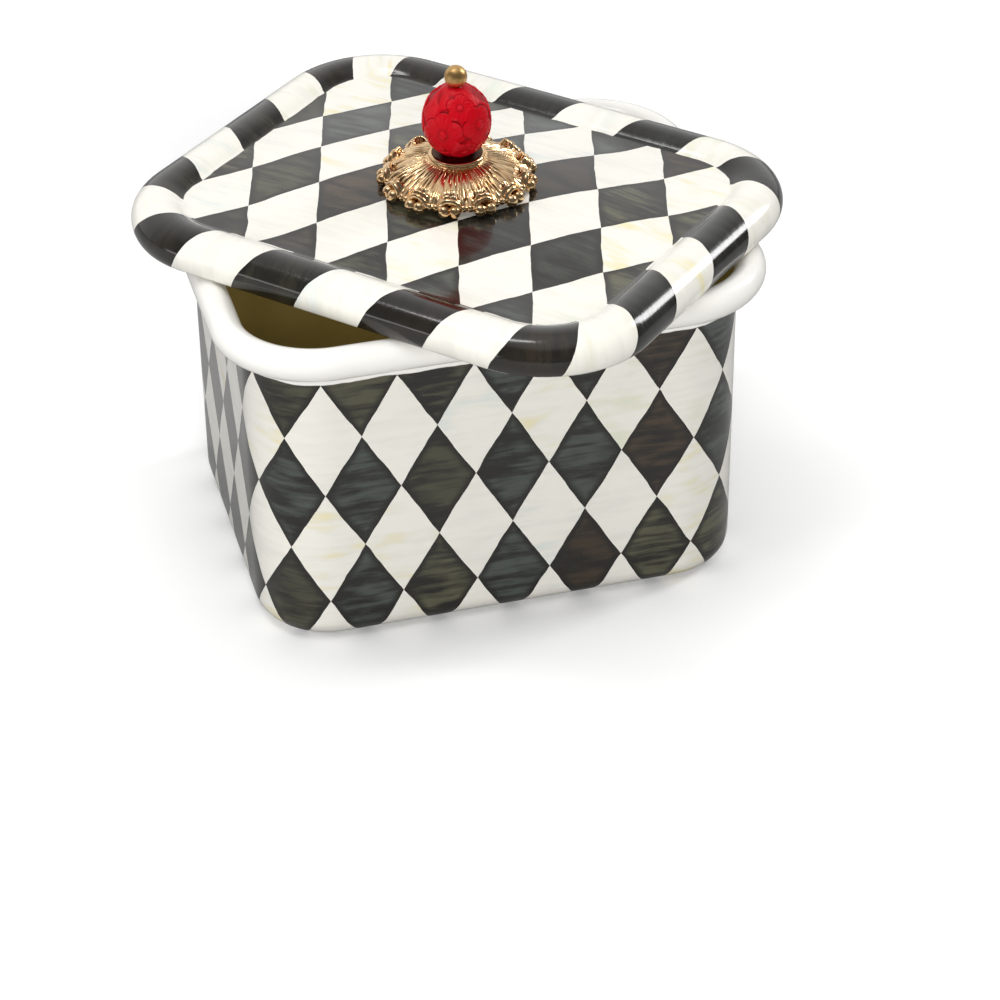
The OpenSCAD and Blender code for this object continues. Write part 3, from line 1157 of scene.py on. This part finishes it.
@dataclass(frozen=True)
class Bloom:
    """A flower carved on the bead: where it lies, its size, its petals and how it is turned."""

    longitude: float
    latitude: float
    radius: float
    petals: int
    turn: float

    def frame(self) -> Matrix:
        """Finds the flower's directions.

        Returns:
            East, north and outwards at its middle.
        """
        lon, lat = math.radians(self.longitude), math.radians(self.latitude)
        out = Vector((math.cos(lat) * math.cos(lon), math.cos(lat) * math.sin(lon), math.sin(lat)))
        east = Vector((-math.sin(lon), math.cos(lon), 0))
        return Matrix((east, out.cross(east), out))

    def height(self, off: Vector) -> float:
        """How high the flower stands.

        Args:
            off: how far the place is to the east and north of its middle.

        Returns:
            The height from 0 to 1, or below 0 outside the flower.
        """
        span, angle = off.length / self.radius, math.atan2(off.y, off.x) + self.turn
        petal = abs(math.sin(self.petals * angle / 2))
        rim = 0.78 + 0.22 * petal**0.7
        if span > rim:
            return rim - span
        if span < 0.2:
            return 0.8 + 0.2 * math.sqrt(1 - (span / 0.2) ** 2)
        curl = 0.25 + 0.75 * smooth(0.15, 1.0, span / rim)
        cut = smooth(0.0, 0.24, petal) * smooth(0.2, 0.26, span)
        fold = 0.16 * (0.5 + 0.5 * math.cos(self.petals * 4 * angle + 4 * span)) * smooth(0.35, 0.7, span)
        return max(0.02, curl * (0.45 + 0.55 * cut) - fold)


@dataclass
class CarvedBead:
    """The red bead, carved all over with low blossoms and leaves."""

    z: float = 151.2 * MM
    radius: float = 11.5 * MM
    half: float = 12.6 * MM
    hole_r: float = 2.3 * MM
    depth: float = 0.75 * MM
    blooms: tuple[Bloom, ...] = (
        Bloom(-128, -2, 6.6 * MM, 5, 0.3),
        Bloom(-62, 10, 6.0 * MM, 5, 1.1),
        Bloom(4, -4, 6.8 * MM, 6, 0.2),
        Bloom(70, 8, 6.4 * MM, 5, 0.8),
        Bloom(148, 2, 7.0 * MM, 5, 1.9),
        Bloom(-96, 42, 4.4 * MM, 5, 0.5),
        Bloom(28, 44, 4.6 * MM, 5, 1.4),
        Bloom(118, 46, 4.2 * MM, 5, 0.1),
        Bloom(-88, -38, 4.6 * MM, 5, 0.9),
        Bloom(-20, -42, 4.2 * MM, 5, 2.0),
        Bloom(100, -40, 4.6 * MM, 5, 0.6),
    )

    def carving(self, place: Vector, frames: list[Matrix]) -> float:
        """How high the carving stands: a flower, or the leaves between the flowers.

        Args:
            place: the place on the bead.
            frames: the flowers' directions.

        Returns:
            The height from 0 to 1.
        """
        way = Vector((place.x / self.radius, place.y / self.radius, place.z / self.half)).normalized()
        best = -1.0
        for bloom, frame in zip(self.blooms, frames):
            if way.dot(frame[2]) > 0.7:
                best = max(best, bloom.height((frame @ way).xy * self.radius))
        if best >= 0:
            return 0.2 + 0.8 * best
        lon, lat = math.atan2(place.y, place.x), place.z / self.half
        leaf = math.sin(4 * lon + 3.2 * math.sin(2.4 * lat + lon)) * math.cos(5 * lat + 1.6 * math.sin(2 * lon))
        vein = abs(math.sin(12 * lat + 5 * math.sin(3 * lon)))
        ridge = 0.35 + 0.5 * smooth(-0.1, 0.1, leaf) - 0.25 * (1 - smooth(0.0, 0.2, vein)) * smooth(0.0, 0.3, leaf)
        return ridge * (0.3 + 0.7 * smooth(0.0, 0.1, -best))

    def build(self, finish: CarvedLacquer) -> Object:
        """Builds the bead in its place on the cup.

        Args:
            finish: the red finish.

        Returns:
            The bead.
        """
        tilt, steps = math.acos(self.hole_r / self.radius), 190
        angles = [-tilt + 2 * tilt * i / steps for i in range(steps + 1)]
        bm = revolve([Station(self.radius * math.cos(a), self.half * math.sin(a), 1.0) for a in angles], 288)
        carve = bm.verts.layers.float.new("carve")
        frames = [bloom.frame() for bloom in self.blooms]
        for vert in bm.verts:
            fade = 1 - smooth(0.86, 0.97, abs(vert.co.z) / self.half)
            height = self.carving(vert.co, frames)
            vert[carve] = height * fade + 0.7 * (1 - fade)
            x, y, z = vert.co
            outward = Vector((x / self.radius**2, y / self.radius**2, z / self.half**2)).normalized()
            vert.co -= outward * self.depth * (1 - height) * fade
        bmesh.ops.translate(bm, verts=bm.verts[:], vec=(0, 0, self.z))
        return piece(bm, "red_carved_bead", "lid", ["carved_bead"], finish.material())


@dataclass
class Hardware:
    """The small pieces that keep their CAD shapes and get their finishes here."""

    # Zinc plate on steel gives a bright cool grey, and brass left to age is satin and browner than the gilt.
    zinc: CastMetal = CastMetal("bright_zinc_steel", "#c9ccce", "#b4b8bb", "#8d9194", 0.28, 0.3 * MM, 0.01 * MM)
    ball: CastMetal = CastMetal("aged_brass_ball", "#e2b87a", "#bf975a", "#86663a", 0.4, 0.5 * MM, 0.015 * MM)

    def dress(self) -> None:
        """Gives each node its finish."""
        steel, brass, rubber = self.zinc.material(), self.ball.material(), SoftRubber().material()
        finishes = {"finial_ball": brass, "under_gasket": rubber}
        for name in ("finial_ball", "under_gasket", "threaded_rod", "flat_washer", "lock_washer", "hex_nut"):
            mesh = frame["nodes"][name].data
            mesh.materials.clear()
            mesh.materials.append(finishes.get(name, steel))
            log.info("%s: dressed", name)


@dataclass(frozen=True)
class SoftBox:
    """A flat lamp: where it stands, its width and height, its power in watts, and whether gloss shows it."""

    name: str
    place: tuple[float, float, float]
    size: tuple[float, float]
    power: float
    mirrored: bool = True

    def stand(self, aim: Vector) -> None:
        """Stands the lamp in the scene.

        Args:
            aim: what it faces.
        """
        data = bpy.data.lights.new(self.name, "AREA")
        data.shape, data.size, data.size_y, data.energy = "RECTANGLE", *self.size, self.power
        made = placed(self.name, data)
        made.location = self.place
        made.rotation_euler = (aim - made.location).to_track_quat("-Z", "Y").to_euler()
        made.visible_glossy = self.mirrored


@dataclass
class Studio:
    """The pale floor, the lamps and the camera."""

    floor_half: float = 6.0
    floor_tone: str = "#a8a8a8"
    floor_seen: str = "#fcfcfc"
    shadow_glow: float = 0.05
    shadow_ends: tuple[float, float] = (0.28, 0.6)
    sky: float = 0.12
    sky_behind: float = 0.8
    sky_above: float = 0.6
    middle: Vector = Vector((0, 0, 0.09))
    soft_boxes: tuple[SoftBox, ...] = (
        SoftBox("key", (1.1, 0.2, 0.8), (0.25, 0.5), 5.2),
        SoftBox("overhead", (-0.35, 0.1, 1.3), (0.12, 0.6), 2.2),
        SoftBox("fill", (-0.1, -0.2, 1.5), (1.0, 1.0), 4.5, mirrored=False),
        SoftBox("front", (-0.2, -1.3, 0.6), (0.5, 0.5), 11.0, mirrored=False),
        SoftBox("side", (-1.25, -0.35, 0.2), (0.9, 0.12), 1.0),
        SoftBox("left", (-1.3, -0.1, 0.7), (0.8, 0.6), 5.5, mirrored=False),
    )
    inside: Vector = Vector((-0.01, 0.0, 0.075))
    inside_power: float = 0.07
    inside_r: float = 0.02
    eye: Vector = Vector((-224.2, -877.3, 626.6)) * MM
    gaze: Vector = Vector((0.2150, 0.7946, -0.5678))
    roll: float = -0.01065
    lens: float = 113.5
    sensor: float = 36.0
    clip: tuple[float, float] = (0.05, 50.0)

    def floor(self) -> None:
        """Lays the floor, which the camera sees as white with the box's shadow on it."""
        bm = bmesh.new()
        bmesh.ops.create_grid(bm, x_segments=1, y_segments=1, size=self.floor_half)
        mesh = settled(bm, "floor")
        placed("floor", mesh)
        shader = Shader("white_floor")
        seen = shader.add("LightPath", out="Is Camera Ray")
        tone = shader.coated(self.floor_tone, (seen, self.floor_seen))
        far = shader.add("VectorMath", (shader.place,), "Value", operation="LENGTH")
        glow = shader.mask((far, *self.shadow_ends), strength=1 - self.shadow_glow)
        glow = shader.add("Math", (glow, self.shadow_glow), operation="ADD")
        glow = shader.add("Math", (seen, glow), operation="MULTIPLY")
        white = (1, 1, 1, 1)
        mesh.materials.append(
            shader.finish(Base_Color=tone, Roughness=0.9, Emission_Color=white, Emission_Strength=glow)
        )

    def world(self) -> None:
        """Lights the scene from a sky that is brighter above and behind the box, and that the camera sees as white."""
        world = bpy.data.worlds.new("studio")
        world.use_nodes = True
        bpy.context.scene.world = world
        graph = Graph(world.node_tree)
        _, back, up = graph.add("SeparateXYZ", (graph.add("TexCoord", out="Generated"),)).node.outputs
        level = graph.mask((back, 0.05, 0.95), strength=self.sky_behind)
        for more in (self.sky, graph.mask((up, 0.8, 1.0), strength=self.sky_above)):
            level = graph.add("Math", (level, more), operation="ADD")
        seen = graph.add("LightPath", out="Is Camera Ray")
        sockets = graph.tree.nodes["Background"].inputs
        graph.feed(sockets["Color"], (1, 1, 1, 1))
        graph.feed(sockets["Strength"], graph.add("Math", (seen, level), operation="MAXIMUM"))

    def lamps(self) -> None:
        """Stands the soft boxes, and hangs a small bare lamp in the open tub that gloss and camera don't show."""
        for soft_box in self.soft_boxes:
            soft_box.stand(self.middle)
        data = bpy.data.lights.new("inside", "POINT")
        data.shadow_soft_size, data.energy = self.inside_r, self.inside_power
        made = placed("inside", data)
        made.location = self.inside
        made.visible_glossy = made.visible_camera = False

    def camera(self) -> None:
        """Stands the camera at the viewpoint of the photograph."""
        data = bpy.data.cameras.new("camera")
        data.lens, data.sensor_width = self.lens, self.sensor
        data.clip_start, data.clip_end = self.clip
        made = placed("camera", data)
        made.location = self.eye
        look = self.gaze.to_track_quat("-Z", "Y").to_matrix().to_4x4()
        made.rotation_euler = (look @ Matrix.Rotation(self.roll, 4, "Z")).to_euler()
        bpy.context.scene.camera = made

    def build(self) -> None:
        """Sets up the whole studio."""
        self.floor()
        self.world()
        self.lamps()
        self.camera()
        bpy.context.scene.view_settings.view_transform = "Standard"


def main() -> None:
    """Builds the box's pieces and the studio."""
    logging.basicConfig(level=logging.INFO, format="%(name)s: %(message)s")
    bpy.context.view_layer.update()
    paint = HandPaint()
    # Gilding on cast brass is bright and warm where it stands up, and painted brown where it lies deep: grime and
    # painted shade in the pleats, painted shade in the lip cups.
    gilt = CastMetal("gilt_cast_brass", "#f4d2a4", "#e2b684", "#5a3212", 0.15, 0.5 * MM, 0.02 * MM)
    # The cup's bronze is painted dark brown as painted shade, so it reads as a satin shadow line under the bead.
    bronze = CastMetal("bronze_painted_shade", "#6a4a2c", "#4c321c", "#22140a", 0.32, 0.5 * MM, 0.02 * MM)
    Tub().build(paint)
    Lid().build(paint)
    Rosette().build(gilt)
    bead = CarvedBead()
    BeadCup().build(bronze, bead)
    bead.build(CarvedLacquer())
    Hardware().dress()
    Studio().build()


if __name__ == "__main__":
    main()
